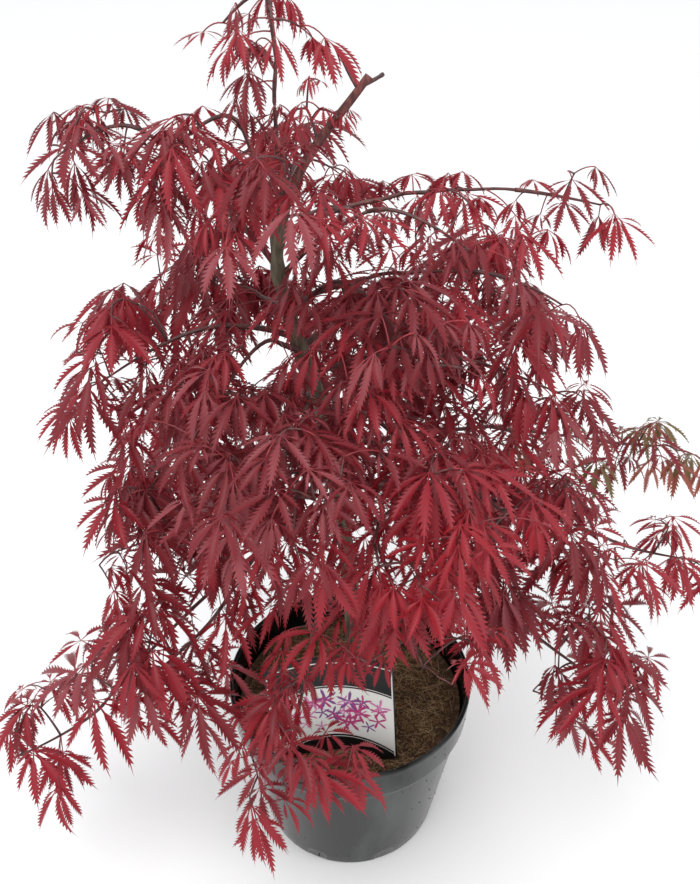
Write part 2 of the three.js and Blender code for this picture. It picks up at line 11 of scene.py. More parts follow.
import bpy
import numpy as np
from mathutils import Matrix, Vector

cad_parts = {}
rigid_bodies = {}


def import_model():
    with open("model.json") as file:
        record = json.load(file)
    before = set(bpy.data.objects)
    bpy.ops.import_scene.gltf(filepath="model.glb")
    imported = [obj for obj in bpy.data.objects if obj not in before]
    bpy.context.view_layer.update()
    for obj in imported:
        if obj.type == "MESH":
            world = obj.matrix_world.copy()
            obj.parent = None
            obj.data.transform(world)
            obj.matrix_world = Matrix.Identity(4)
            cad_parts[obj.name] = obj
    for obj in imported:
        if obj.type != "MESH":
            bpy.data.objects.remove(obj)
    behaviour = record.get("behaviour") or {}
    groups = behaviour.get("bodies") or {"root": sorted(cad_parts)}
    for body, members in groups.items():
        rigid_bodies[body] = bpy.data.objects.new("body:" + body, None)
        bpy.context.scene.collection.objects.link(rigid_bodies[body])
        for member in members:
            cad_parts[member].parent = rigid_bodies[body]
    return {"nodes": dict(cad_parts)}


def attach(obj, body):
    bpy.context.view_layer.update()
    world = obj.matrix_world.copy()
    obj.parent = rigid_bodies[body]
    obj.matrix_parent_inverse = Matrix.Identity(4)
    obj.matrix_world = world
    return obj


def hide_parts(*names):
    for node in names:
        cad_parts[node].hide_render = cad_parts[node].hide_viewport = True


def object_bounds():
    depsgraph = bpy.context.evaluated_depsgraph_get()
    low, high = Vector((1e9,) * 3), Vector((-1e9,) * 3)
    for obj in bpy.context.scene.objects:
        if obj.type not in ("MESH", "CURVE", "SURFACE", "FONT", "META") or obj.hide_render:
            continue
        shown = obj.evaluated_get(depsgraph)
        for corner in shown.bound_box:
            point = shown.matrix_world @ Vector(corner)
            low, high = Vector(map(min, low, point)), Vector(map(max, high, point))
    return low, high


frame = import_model()
CAD_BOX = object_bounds()
MM = 1000  # millimetres in a metre
BOX_LOW, BOX_HIGH = (np.array(corner) * MM for corner in CAD_BOX)
print(len(frame["nodes"]), "nodes, box in mm", BOX_LOW.round(), BOX_HIGH.round())

# %% [markdown]
# The camera looks down from in front, as a person does who stands over a pot. The light is an overcast
# day's: a pale world, a large soft lamp above and a weaker one at the side.

# %% Camera and light
CAMERA_BACK, CAMERA_HIGH, CAMERA_PITCH = 659.3, 947.1, 37.04  # mm, mm and degrees below level
scene = bpy.context.scene
camera = bpy.data.objects.new("camera", bpy.data.cameras.new("camera"))
camera.location = (0.0, -CAMERA_BACK / MM, CAMERA_HIGH / MM)
camera.rotation_euler = (math.radians(90 - CAMERA_PITCH), 0, 0)
camera.data.lens = 43.17
camera.data.sensor_width = 36
camera.data.clip_start = 0.01
scene.collection.objects.link(camera)
scene.camera = camera
scene.view_settings.view_transform = "Standard"

world = bpy.data.worlds.new("overcast")
world.use_nodes = True
background = world.node_tree.nodes["Background"]
background.inputs["Color"].default_value = (0.97, 0.985, 1.0, 1)
background.inputs["Strength"].default_value = 1.12
scene.world = world


def soft_lamp(name, place, target, size, watts):
    """A square lamp of one size, turned so that it faces its target."""
    lamp = bpy.data.objects.new(name, bpy.data.lights.new(name, "AREA"))
    lamp.data.size = size
    lamp.data.energy = watts
    lamp.location = place
    way = np.array(target) - np.array(place)
    tilt = math.acos(-way[2] / np.linalg.norm(way))
    lamp.rotation_euler = (tilt, 0, math.atan2(way[1], way[0]) - math.pi / 2)
    scene.collection.objects.link(lamp)


soft_lamp("lamp_above", (-0.5, -0.9, 2.2), (0, 0, 0.4), 1.2, 24)
soft_lamp("lamp_side", (1.9, -0.6, 1.1), (0, 0, 0.4), 0.9, 9)


# %% Helpers: colours, noise and meshes
def rgb(red, green, blue):
    """A colour from 0 to 255, turned into the linear values of a shader."""
    share = np.array([red, green, blue]) / 255
    linear = np.where(share <= 0.04045, share / 12.92, ((share + 0.055) / 1.055) ** 2.4)
    return (*linear.tolist(), 1.0)


def noise(points, size, seed):
    """Smooth noise from about -1 to 1: eight sine waves whose directions and phases come from the seed."""
    deal = np.random.default_rng(seed)
    waves = 8
    ways = deal.normal(size=(waves, 3)) * 2.2 / size
    phases = deal.uniform(0, 2 * np.pi, waves)
    return np.sin(np.asarray(points) @ ways.T + phases).mean(axis=-1) * 1.9


def strip_faces(rows, columns, around):
    """The quads of a grid of rows and columns, closed around the columns if asked."""
    last = columns if around else columns - 1
    row, column = np.meshgrid(np.arange(rows - 1), np.arange(last), indexing="ij")
    after = (column + 1) % columns
    low, high = row * columns, (row + 1) * columns
    return np.stack([low + column, low + after, high + after, high + column], axis=-1).reshape(-1, 4)


def cap(pole, first, count, below=False):
    """Triangles from a pole to a ring of points that starts at an index. They face up, or down if below."""
    ring = first + np.arange(count)
    after = np.roll(ring, -1)
    return np.stack([np.full(count, pole), *((after, ring) if below else (ring, after))], axis=-1)


def make(name, points, faces, material, slot, smooth=True):
    """A piece: points in millimetres, and faces as index arrays, one for each number of corners."""
    faces = [np.asarray(block, dtype=np.int32) for block in faces if len(block)]
    corners = np.concatenate([block.ravel() for block in faces])
    sides = np.concatenate([np.full(len(block), block.shape[1]) for block in faces])
    mesh = bpy.data.meshes.new(name)
    mesh.vertices.add(len(points))
    mesh.vertices.foreach_set("co", (np.asarray(points, dtype=np.float64) / MM).astype(np.float32).ravel())
    mesh.loops.add(len(corners))
    mesh.loops.foreach_set("vertex_index", corners)
    mesh.polygons.add(len(sides))
    mesh.polygons.foreach_set("loop_start", np.concatenate([[0], np.cumsum(sides)[:-1]]).astype(np.int32))
    mesh.polygons.foreach_set("use_smooth", np.full(len(sides), smooth))
    mesh.update(calc_edges=True)
    mesh.validate()
    mesh.materials.append(material)
    made = bpy.data.objects.new(name, mesh)
    scene.collection.objects.link(made)
    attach(made, "root")
    print(name, sum(len(block) * (block.shape[1] - 2) for block in faces), "triangles")
    return made


def tubes(lines, radii, sides):
    """Tubes round many lines at once, closed at both ends. A ring's first axis is level, its second is square
    to that and to the line."""
    lines = np.asarray(lines, dtype=float)
    count, steps, _ = lines.shape
    way = np.gradient(lines, axis=1)
    way /= np.maximum(np.linalg.norm(way, axis=2, keepdims=True), 1e-9)
    level_axis = np.stack([-way[..., 1], way[..., 0], np.zeros((count, steps))], axis=-1)
    short = np.linalg.norm(level_axis, axis=2, keepdims=True) < 1e-3
    level_axis = np.where(short, [1.0, 0, 0], level_axis)
    level_axis /= np.linalg.norm(level_axis, axis=2, keepdims=True)
    other_axis = np.cross(way, level_axis)
    angle = 2 * np.pi * np.arange(sides) / sides
    ring = np.cos(angle)[:, None] * level_axis[:, :, None]
    ring = ring + np.sin(angle)[:, None] * other_axis[:, :, None]
    points = lines[:, :, None] + ring * np.asarray(radii, dtype=float)[:, :, None, None]
    first = (np.arange(count) * steps * sides)[:, None, None]
    walls = (strip_faces(steps, sides, True)[None] + first).reshape(-1, 4)
    foot = np.arange(sides)[::-1][None] + first[:, 0]
    tip = (np.arange(sides) + (steps - 1) * sides)[None] + first[:, 0]
    return points.reshape(-1, 3), [walls, np.vstack([foot, tip])]


def merged(parts):
    """Several meshes as one: (points, faces) pairs whose indices are moved on by the points before them."""
    points, faces, before = [], [], 0
    for own_points, own_faces in parts:
        points.append(own_points)
        faces += [np.asarray(block) + before for block in own_faces]
        before += len(own_points)
    return np.vstack(points), faces


# %% Helpers: materials
def shader(name, colour, roughness, **sockets):
    """A material with one Principled shader and plain values for its sockets."""
    material = bpy.data.materials.new(name)
    material.use_nodes = True
    principled = material.node_tree.nodes["Principled BSDF"]
    principled.inputs["Base Color"].default_value = colour
    principled.inputs["Roughness"].default_value = roughness
    for socket, value in sockets.items():
        principled.inputs[socket.replace("_", " ")].default_value = value
    return material, material.node_tree, principled


def pattern(tree, scale, stretch=(1, 1, 1), **values):
    """Noise on Object coordinates: its scale is for a metre, and a Mapping node stretches it."""
    place = tree.nodes.new("ShaderNodeTexCoord")
    mapping = tree.nodes.new("ShaderNodeMapping")
    mapping.inputs["Scale"].default_value = stretch
    made = tree.nodes.new("ShaderNodeTexNoise")
    made.inputs["Scale"].default_value = scale
    for socket, value in values.items():
        made.inputs[socket].default_value = value
    tree.links.new(place.outputs["Object"], mapping.inputs["Vector"])
    tree.links.new(mapping.outputs["Vector"], made.inputs["Vector"])
    return made.outputs[0]


def ramp(tree, value, stops):
    """A colour ramp from a list of (position, colour)."""
    made = tree.nodes.new("ShaderNodeValToRGB")
    while len(made.color_ramp.elements) < len(stops):
        made.color_ramp.elements.new(0.5)
    for element, (position, colour) in zip(made.color_ramp.elements, stops):
        element.position = position
        element.color = colour
    tree.links.new(value, made.inputs["Fac"])
    return made.outputs["Color"]


def bump(tree, value, strength, distance, principled):
    """Relief from a pattern, its distance in metres."""
    made = tree.nodes.new("ShaderNodeBump")
    made.inputs["Strength"].default_value = strength
    made.inputs["Distance"].default_value = distance
    tree.links.new(value, made.inputs["Height"])
    tree.links.new(made.outputs["Normal"], principled.inputs["Normal"])


def blended(tree, factor, first, second):
    """Two colours mixed by a factor, the second a socket or plain. Colour sockets are 6, 7 and 2."""
    mix = tree.nodes.new("ShaderNodeMix")
    mix.data_type = "RGBA"
    tree.links.new(factor, mix.inputs["Factor"])
    tree.links.new(first, mix.inputs[6])
    if isinstance(second, tuple):
        mix.inputs[7].default_value = second
    else:
        tree.links.new(second, mix.inputs[7])
    return mix.outputs[2]


# %% [markdown]
# The plant repeats the source's own lines: the trunk's centreline, and for each mass of leaves its middle,
# how far it spreads and hangs, how long its leaves are and where its bough leaves the trunk.

# %% The plan of the plant
TRUNK_LINE = [  # height, side, back
    (150.3, 2, 16),
    (205, 4, 18),
    (330, -4, 16),
    (463, -20, 12),
    (558, -43, 4),
    (612, -50, 0),
    (664, -36, 2),
    (728, 12, 16),
]
Mass = namedtuple("Mass", "bearing out height spread hang leaf fork tint leaves")
MASSES = {  # fork 0: on the trunk itself
    "top_shoot": (180, 52, 764, 38, 16, 44, 640, "crimson", 12),
    "trunk_tip": (140, 34, 708, 20, 18, 24, 0, "young", 14),
    "crown_front": (244, 86, 688, 42, 28, 52, 0, "deep", 23),
    "crown_back": (114, 98, 640, 48, 30, 70, 0, "crimson", 22),
    "upper_left_tip": (181, 160, 690, 36, 26, 52, 600, "crimson", 30),
    "upper_left": (197, 100, 692, 46, 28, 58, 622, "crimson", 24),
    "inner_right": (325, 72, 640, 42, 30, 50, 592, "deep", 20),
    "right_shoulder": (344, 116, 602, 48, 40, 56, 570, "crimson", 12),
    "upper_right_tip": (12, 160, 636, 36, 24, 52, 626, "crimson", 13),
    "left_shoulder": (186, 156, 530, 46, 58, 70, 541, "crimson", 38),
    "left_inner": (222, 110, 544, 44, 34, 58, 524, "deep", 42),
    "front_shoulder": (290, 86, 590, 50, 42, 56, 558, "plum", 56),
    "right_side": (356, 126, 512, 50, 42, 70, 506, "deep", 36),
    "right_tip": (14, 262, 400, 38, 22, 54, 430, "bronze", 20),
    "lower_left": (188, 164, 374, 56, 54, 68, 448, "plum", 54),
    "front_left": (256, 136, 520, 62, 44, 58, 494, "plum", 74),
    "front_right": (293, 142, 496, 58, 46, 58, 468, "bright", 74),
    "lower_right": (343, 168, 394, 52, 50, 76, 438, "crimson", 44),
    "low_right_tip": (0, 266, 332, 36, 24, 56, 400, "crimson", 20),
    "right_skirt": (342, 210, 258, 48, 72, 78, 372, "crimson", 50),
    "left_skirt_tip": (197, 278, 188, 46, 52, 70, 382, "crimson", 18),
    "left_skirt": (211, 182, 296, 54, 62, 78, 414, "deep", 36),
    "pot_skirt": (253, 158, 268, 42, 70, 60, 356, "bright", 44),
    "front_skirt": (286, 150, 394, 48, 50, 60, 424, "bright", 46),
    "back_left": (136, 154, 532, 58, 52, 80, 552, "crimson", 44),
    "back_right": (46, 164, 516, 60, 54, 80, 532, "crimson", 40),
    "low_back_left": (142, 182, 348, 62, 60, 86, 402, "deep", 50),
    "low_back": (90, 190, 404, 62, 60, 86, 440, "crimson", 54),
    "low_back_right": (40, 194, 306, 62, 60, 86, 390, "deep", 50),
}
MASSES = {name: Mass(*row) for name, row in MASSES.items()}
UP = np.array([0.0, 0.0, 1.0])


def level(bearing):
    """The level direction at a bearing in degrees, anticlockwise from +X."""
    return np.array([math.cos(math.radians(bearing)), math.sin(math.radians(bearing)), 0.0])


def through(points, steps=60):
    """A Catmull-Rom curve through points: knots lie the square root of each distance apart."""
    points = np.asarray(points, dtype=float)
    padded = np.vstack([2 * points[0] - points[1], points, 2 * points[-1] - points[-2]])
    line = []
    for a, b, c, d in zip(padded, padded[1:], padded[2:], padded[3:]):
        k1, k2, k3 = (math.sqrt(np.linalg.norm(q - p)) for p, q in ((a, b), (b, c), (c, d)))
        start = ((b - a) / k1 - (c - a) / (k1 + k2) + (c - b) / k2) * k2
        end = ((c - b) / k2 - (d - b) / (k2 + k3) + (d - c) / k3) * k2
        t = np.linspace(0, 1, steps, endpoint=False)[:, None]
        line.append((2 * t**3 - 3 * t**2 + 1) * b + (t**3 - 2 * t**2 + t) * start)
        line[-1] += (3 * t**2 - 2 * t**3) * c + (t**3 - t**2) * end
    return np.vstack([*line, points[-1:]])


def evenly(line, shares):
    """Points at shares of a line's length."""
    steps = np.concatenate([[0], np.cumsum(np.linalg.norm(np.diff(line, axis=0), axis=1))])
    places = np.asarray(shares) * steps[-1]
    return np.stack([np.interp(places, steps, line[:, axis]) for axis in range(3)], axis=-1)


def bent(start, over, end, count):
    """A line from start to end that bends towards a third point: a quadratic curve."""
    t = np.linspace(0, 1, count)[:, None]
    return (1 - t) ** 2 * start + 2 * t * (1 - t) * over + t**2 * end


curve = through([(side, back, height) for height, side, back in TRUNK_LINE])
trunk_line = evenly(curve, np.linspace(0, 1, 400))

# %% [markdown]
# Every mass keeps to its own space, which ends at a plane between it and each other mass, as in the solids.
# A bough arches from the trunk to the mass, a stem goes on through it, and places for leaves are dealt
# round its middle: each next height moves on by a fixed share, each next bearing by the golden angle. A
# stalk reaches each place from the nearest point that has already grown. Short stalks with one leaf each
# stand along every bough.

# %% Grow the boughs, twigs and stalks
GOLDEN_ANGLE = 137.508  # degrees from one leaf to the next
HEIGHT_STEP = 0.754878  # share of the mass's height from one leaf to the next
BOUGH_STEPS, STEM_STEPS, STALK_STEPS = 24, 13, 7
FORK_STEP = 4  # the step of a stalk at which others may leave it
SHORTEST_STALK = 9
SIDE_STALKS = 10  # short leafy stalks along a bough


def stream(seed):
    """Numbers from 0 to 1 by 32-bit mixing, the same that the solids grow by."""
    state = seed & 0xFFFFFFFF
    while True:
        state = (state + 0x6D2B79F5) & 0xFFFFFFFF
        mixed = ((state ^ (state >> 15)) * (state | 1)) & 0xFFFFFFFF
        mixed ^= (mixed + (((mixed ^ (mixed >> 7)) * (mixed | 61)) & 0xFFFFFFFF)) & 0xFFFFFFFF
        yield ((mixed ^ (mixed >> 14)) & 0xFFFFFFFF) / 2**32


CENTRES = {name: level(mass.bearing) * mass.out + UP * mass.height for name, mass in MASSES.items()}
WIDTHS = {name: mass.spread + 0.5 * mass.leaf for name, mass in MASSES.items()}


def in_space(name, point, margin):
    """True if a point lies on a mass's own side of the planes between it and all the others."""
    for other, centre in CENTRES.items():
        if other == name:
            continue
        way = centre - CENTRES[name]
        far = np.linalg.norm(way)
        share = WIDTHS[name] / (WIDTHS[name] + WIDTHS[other])
        if way @ (point - CENTRES[name]) / far > far * share - margin:
            return False
    return True


def drawn_in(name, point, towards, share, margin):
    """A point moved step by step towards another until it is in the mass's space."""
    while not in_space(name, point, margin):
        point = point + (towards - point) * share
    return point


def stalk_to(root, over, place, parent, deal):
    """A stalk: its line, the stalk it leaves, its random number and how many stalks it carries."""
    return {"line": bent(root, over, place, STALK_STEPS), "parent": parent, "deal": deal, "carries": 0}


def grow(name, index):
    """One mass: its bough, its stem, and a stalk for each leaf."""
    mass = MASSES[name]
    spread, hang = 1.1 * mass.spread, mass.hang
    random = stream(1000 + 77 * index)
    centre = CENTRES[name]
    start_height = mass.fork or min(mass.height - 12, TRUNK_LINE[-1][0])
    nearest = np.abs(trunk_line[:, 2] - start_height).argmin()
    start = trunk_line[-36 if name == "trunk_tip" else nearest]
    to_trunk = (start - centre) * [1, 1, 0]
    far = np.linalg.norm(to_trunk)
    entry = centre + to_trunk / far * min(far * 0.6, spread * 1.1) + UP * hang * 0.45
    entry = drawn_in(name, entry, centre, 0.12, 3)
    end = centre - to_trunk / far * spread * 0.7 - UP * hang * 0.3
    end = drawn_in(name, end, centre, 0.15, 3)
    if mass.fork:
        over = (start + entry) / 2 + UP * np.linalg.norm(entry - start) * 0.14
        bough = bent(start, over, entry, BOUGH_STEPS)
        tangent = (entry - over) / np.linalg.norm(entry - over)
        beyond = drawn_in(name, entry + tangent * spread * 0.6, entry, 0.2, 2)
        stem = bent(entry, beyond, end, STEM_STEPS)
        forks = [(point, None) for point in stem[1::2]]
    else:
        over = (start + end) / 2 + UP * np.linalg.norm(end - start) * 0.25
        bough = None
        stem = bent(start, over, end, STEM_STEPS)
        forks = [(point, None) for point in stem[5::2]]
    grown = []
    for number in range(12 * mass.leaves):
        if len(grown) == mass.leaves:
            break
        rise = 1 - 1.8 * ((number * HEIGHT_STEP) % 1)
        wide = math.sqrt(max(0, 1 - rise * rise)) * (0.3 + 0.95 * next(random))
        way = level(number * GOLDEN_ANGLE + 40 * next(random))
        place = centre + way * spread * wide + UP * hang * rise
        if not in_space(name, place, 1):
            continue
        root, parent = min(forks, key=lambda fork: float(np.sum((fork[0] - place) ** 2)))
        reach = np.linalg.norm(place - root)
        if reach < SHORTEST_STALK:
            continue
        arch = (root + place) / 2 + UP * reach * 0.24
        grown.append(stalk_to(root, arch, place, parent, next(random)))
        forks.append((grown[-1]["line"][FORK_STEP], len(grown) - 1))
    for number in range(SIDE_STALKS if mass.fork else 0):
        root = evenly(bough, [0.4 + 0.057 * number])[0]
        side = mass.bearing + (1 if number % 2 else -1) * (45 + 45 * next(random))
        place = root + level(side) * (16 + 24 * next(random)) + UP * (14 * next(random) - 6)
        grown.append(stalk_to(root, (root + place) / 2 + UP * 6, place, None, next(random)))
    return {"name": name, "bough": bough, "stem": stem, "stalks": grown}


plants = [grow(name, index) for index, name in enumerate(MASSES)]
print(sum(len(plant["stalks"]) for plant in plants), "leaves on", len(plants), "masses")


# %% [markdown]
# A leaf has seven narrow lobes that spread like fingers. Each is drawn out to a fine tip, has a few sharp
# teeth that point forward, is folded a little along its midrib and bends down more and more towards its
# tip. The flat pattern of a leaf is worked out once and laid along the bends of all leaves at once. The
# leaves are open sheets, as real ones are too thin to show an edge.

# %% The pattern of a leaf
LOBES = [  # bearing from the leaf's heading, share of its length, further droop in degrees, teeth
    (-126, 0.46, 8, 5),
    (-84, 0.75, 4, 7),
    (-42, 0.93, 0, 9),
    (0, 1.0, 0, 9),
    (42, 0.93, 0, 9),
    (84, 0.75, 4, 7),
    (126, 0.46, 8, 5),
]
# a lobe's edge and the points of its teeth: share of the way to the tip, share of the half width
BODY = [(0, 0.08), (0.15, 0.12), (0.28, 0.4), (0.44, 0.52), (0.6, 0.44), (0.72, 0.27), (0.82, 0.12), (1, 0)]
TEETH = [(0.3, 0.75), (0.46, 1.22), (0.62, 1.25), (0.75, 0.92), (0.88, 0.45), (0.96, 0.2)]


def lobe_pattern(teeth):
    """One lobe's points, as shares of the way to its tip and of its half width, and its faces: a narrow body
    and on each side a row of teeth whose points lie beyond their feet."""
    notches = np.concatenate([[0.0], np.linspace(0.18, 0.82, teeth + 1), [1.0]])
    width = np.interp(notches, *zip(*BODY))
    points = [(share, 0.0) for share in notches]
    faces4, faces3 = [], []
    for side in (1, -1):
        edge = len(points)
        points += [(share, side * half) for share, half in zip(notches[:-1], width[:-1])]
        for k in range(teeth + 1):
            quad = [k, k + 1, edge + k + 1, edge + k]
            faces4.append(quad if side > 0 else quad[::-1])
        last = [teeth + 1, teeth + 2, edge + teeth + 1]
        faces3.append(last if side > 0 else last[::-1])
        for k in range(1, teeth + 1):
            share = notches[k + 1] + 0.3 / teeth
            points.append((share, side * np.interp(share, *zip(*TEETH))))
            tooth = [edge + k, edge + k + 1, len(points) - 1]
            faces3.append(tooth if side > 0 else tooth[::-1])
    return np.array(points), np.array(faces4), np.array(faces3)


lobes = [lobe_pattern(row[3]) for row in LOBES]
numbered = [np.insert(points, 0, number, axis=1) for number, (points, *_) in enumerate(lobes)]
LEAF_POINTS, faces = merged([(points, lobe[1:]) for points, lobe in zip(numbered, lobes)])
LEAF_QUADS, LEAF_TRIANGLES = np.vstack(faces[::2]), np.vstack(faces[1::2])


def blades(middle, heading, length, droop, hang, fan, width, curl, uneven):
    """The points of many leaves. Along a lobe the slope grows evenly from droop to hang, so its line is part
    of a circle. The edges stand off along the slope's normal, which folds the lobe, curl bends it sideways,
    and uneven makes some lobes longer and flatter."""
    lobe = LEAF_POINTS[:, 0].astype(int)
    share, side = LEAF_POINTS[:, 1], LEAF_POINTS[:, 2]
    table = np.array([row[:3] for row in LOBES])
    reach = length[:, None] * table[lobe, 1] * (1 + uneven[:, lobe])
    bearing = np.radians(heading[:, None] + fan[:, None] * table[lobe, 0])
    start = np.radians(droop[:, None] + table[lobe, 2] - 60 * uneven[:, lobe])
    turn = np.radians(hang[:, None] - droop[:, None])
    slope = start + turn * share
    out = reach * (np.sin(slope) - np.sin(start)) / turn
    down = reach * (np.cos(start) - np.cos(slope)) / turn
    off = reach * width[:, None] * side
    fold = 0.45 * np.abs(off)
    sideways = off + reach * curl[:, lobe] * share**2
    out = out + fold * np.sin(slope)
    down = down - fold * np.cos(slope)
    x = out * np.cos(bearing) - sideways * np.sin(bearing)
    y = out * np.sin(bearing) + sideways * np.cos(bearing)
    return middle[:, None] + np.stack([x, y, -down], axis=-1)


# %% [markdown]
# Not every place suits every leaf: none may reach into the pot, the label or the ground, or out of the room
# that the solids take up. A leaf that does is made smaller in two steps and then left out.


# %% Lay out the leaves
POT_ROOM = 115, 179  # radius and height of the room that leaves keep out of
LABEL_ROOM = -13, -62, 62, 24, 262  # the label's: middle, half width, half depth and height
BEYOND, CLEAR = 6, 3  # how far leaves may pass the solids' box, and how far they stay above the ground


def trespasses(points):
    """For each leaf, True if any point is in the pot, the label or the ground, or out of the box."""
    x, y, z = points[..., 0], points[..., 1], points[..., 2]
    in_pot = (np.hypot(x, y) < POT_ROOM[0]) & (z < POT_ROOM[1])
    side, back, wide, deep, high = LABEL_ROOM
    in_label = (np.abs(x - side) < wide) & (np.abs(y - back) < deep) & (z < high)
    outside = ((points < BOX_LOW - BEYOND) | (points > BOX_HIGH + BEYOND)).any(axis=-1)
    return (in_pot | in_label | outside | (z < CLEAR)).any(axis=1)


GAPS = [  # where the crown is open: place in the picture, half its width and height, and the share kept there
    (264, 352, 28, 40, 0.0),
    (80, 262, 66, 26, 0.15),
    (432, 680, 42, 62, 0.0),
    (345, 712, 52, 42, 0.45),
    (510, 706, 34, 44, 0.0),
    (535, 765, 40, 40, 0.0),
    (195, 775, 44, 40, 0.2),
    (60, 545, 46, 56, 0.0),
    (16, 376, 42, 54, 0.0),
    (14, 165, 32, 60, 0.0),
    (400, 822, 60, 40, 0.1),
    (430, 110, 60, 44, 0.0),
    (625, 330, 40, 90, 0.1),
    (610, 545, 40, 30, 0.3),
    (684, 705, 34, 70, 0.0),
    (125, 745, 36, 36, 0.3),
    (15, 795, 34, 44, 0.2),
    (222, 835, 28, 40, 0.2),
    (225, 325, 26, 20, 0.2),
    (420, 225, 46, 30, 0.45),
    (545, 165, 80, 26, 0.1),
    (180, 738, 36, 30, 0.3),
    (575, 780, 40, 26, 0.0),
    (520, 670, 30, 24, 0.3),
]


FOCAL, MIDDLE = 1060, (350, 442)  # the camera's focal length and the picture's middle, in pixels
COSINE, SINE = 0.798, 0.6023  # of the camera's pitch


def in_picture(points):
    """Where the camera sees points, in a picture 700 wide and 884 high: across and down."""
    x, y, z = points[..., 0], points[..., 1] + CAMERA_BACK, points[..., 2] - CAMERA_HIGH
    depth = COSINE * y - SINE * z
    return MIDDLE[0] + FOCAL * x / depth, MIDDLE[1] - FOCAL * (SINE * y + COSINE * z) / depth


MIXTURES = {  # for each mass tint: the tints of its leaves and how much of the mass each takes
    "crimson": (("crimson", 0.5), ("deep", 0.22), ("plum", 0.13), ("bright", 0.15)),
    "deep": (("deep", 0.48), ("crimson", 0.24), ("plum", 0.2), ("bright", 0.08)),
    "plum": (("plum", 0.42), ("deep", 0.26), ("crimson", 0.24), ("bright", 0.08)),
    "bright": (("bright", 0.4), ("crimson", 0.36), ("deep", 0.14), ("young", 0.1)),
    "young": (("young", 0.55), ("crimson", 0.25), ("bright", 0.2)),
    "bronze": (("bronze", 0.42), ("olive", 0.2), ("deep", 0.38)),
}
deal = np.random.default_rng(28)
leaves = {"points": [], "tints": []}
for plant in plants:
    mass, stalks = MASSES[plant["name"]], plant["stalks"]
    ways = np.array([stalk["line"][-1] - stalk["line"][0] for stalk in stalks])
    count = len(stalks)
    middle = np.array([stalk["line"][-1] for stalk in stalks])
    heading = np.degrees(np.arctan2(ways[:, 1], ways[:, 0])) + deal.normal(0, 16, count)
    size = mass.leaf * deal.uniform(0.52, 0.86, count)
    droop = deal.uniform(4, 48, count)
    shape = {
        "droop": droop,
        "hang": droop + deal.uniform(28, 56, count),
        "fan": deal.uniform(0.82, 1.06, count),
        "width": deal.uniform(0.062, 0.094, count),
        "curl": deal.normal(0, 0.12, (count, len(LOBES))),
        "uneven": deal.uniform(-0.14, 0.12, (count, len(LOBES))),
    }
    for smaller in (0.84, 0.84):
        size = np.where(trespasses(blades(middle, heading, size, **shape)), size * smaller, size)
    points = blades(middle, heading, size, **shape)
    good = ~trespasses(points)
    across, down = (part.mean(axis=1) for part in in_picture(points))
    for left, top, wide, high, kept in GAPS:
        inside = np.hypot((across - left) / wide, (down - top) / high) < 1
        good &= ~(inside & (deal.random(count) >= kept))
    for number in np.flatnonzero(good):
        branch = number
        while stalks[branch]["parent"] is not None:
            branch = stalks[branch]["parent"]
        share = 0.5 * stalks[branch]["deal"] + 0.5 * deal.random()
        parts = np.cumsum([part for _, part in MIXTURES[mass.tint]])
        leaves["points"].append(points[number])
        leaves["tints"].append(MIXTURES[mass.tint][int((parts < share).sum())][0])
    for number, stalk in enumerate(stalks):
        stalk["leaf"] = bool(good[number])
        branch = stalk["parent"] if stalk["leaf"] else None
        while branch is not None:
            stalks[branch]["carries"] += 1
            branch = stalks[branch]["parent"]
leaves = {key: np.array(value) for key, value in leaves.items()}
print(len(leaves["points"]), "leaves kept")

# %% [markdown]
# The foliage is crimson, but not evenly: each mass has a main tint and mixes others in, the pruned tip's
# leaves are young, and one spray at the right is bronze. Each tint is one piece with one plain colour. A
# part of the light goes through, which a Translucent shader gives.

# %% Leaf colours and leaf pieces
TINTS = {
    "deep": rgb(116, 32, 40),
    "crimson": rgb(140, 33, 44),
    "plum": rgb(136, 60, 66),
    "bright": rgb(142, 26, 38),
    "young": rgb(158, 46, 58),
    "bronze": rgb(136, 72, 58),
    "olive": rgb(106, 88, 54),
}


THROUGH = 0.28  # the share of the light that shines through a leaf


def leaf_material(name, colour):
    """A satin leaf: most light is thrown back, the rest shines through in a brighter tone of its colour."""
    material, tree, principled = shader("leaf_" + name, colour, 0.46, Specular_IOR_Level=0.35)
    mottle = pattern(tree, 160, Detail=3.0)
    bump(tree, mottle, 0.25, 0.0008, principled)
    through_light = tree.nodes.new("ShaderNodeBsdfTranslucent")
    through_light.inputs["Color"].default_value = (*(min(1, 1.5 * part) for part in colour[:3]), 1)
    mix = tree.nodes.new("ShaderNodeMixShader")
    mix.inputs["Fac"].default_value = THROUGH
    tree.links.new(principled.outputs["BSDF"], mix.inputs[1])
    tree.links.new(through_light.outputs["BSDF"], mix.inputs[2])
    tree.links.new(mix.outputs["Shader"], tree.nodes["Material Output"].inputs["Surface"])
    return material


MAIN_TINT = {name: mass.tint for name, mass in MASSES.items()}
for tint, colour in TINTS.items():
    own = leaves["points"][leaves["tints"] == tint]
    count, size = len(own), len(LEAF_POINTS)
    first = (np.arange(count) * size)[:, None, None]
    quads = (LEAF_QUADS[None] + first).reshape(-1, 4)
    triangles = (LEAF_TRIANGLES[None] + first).reshape(-1, 3)
    skin = leaf_material(tint, colour)
    made = make("foliage_" + tint, own.reshape(-1, 3), [quads, triangles], skin, "foliage")
    if tint in MAIN_TINT.values():
        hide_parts(*["leaves_" + name for name, main in MAIN_TINT.items() if main == tint])

# %% [markdown]
# Stalks are fine and red. A stalk that carries others has turned to wood as far as the last fork and is a
# twig, thicker the more it carries. Twigs and boughs are dark red-brown.

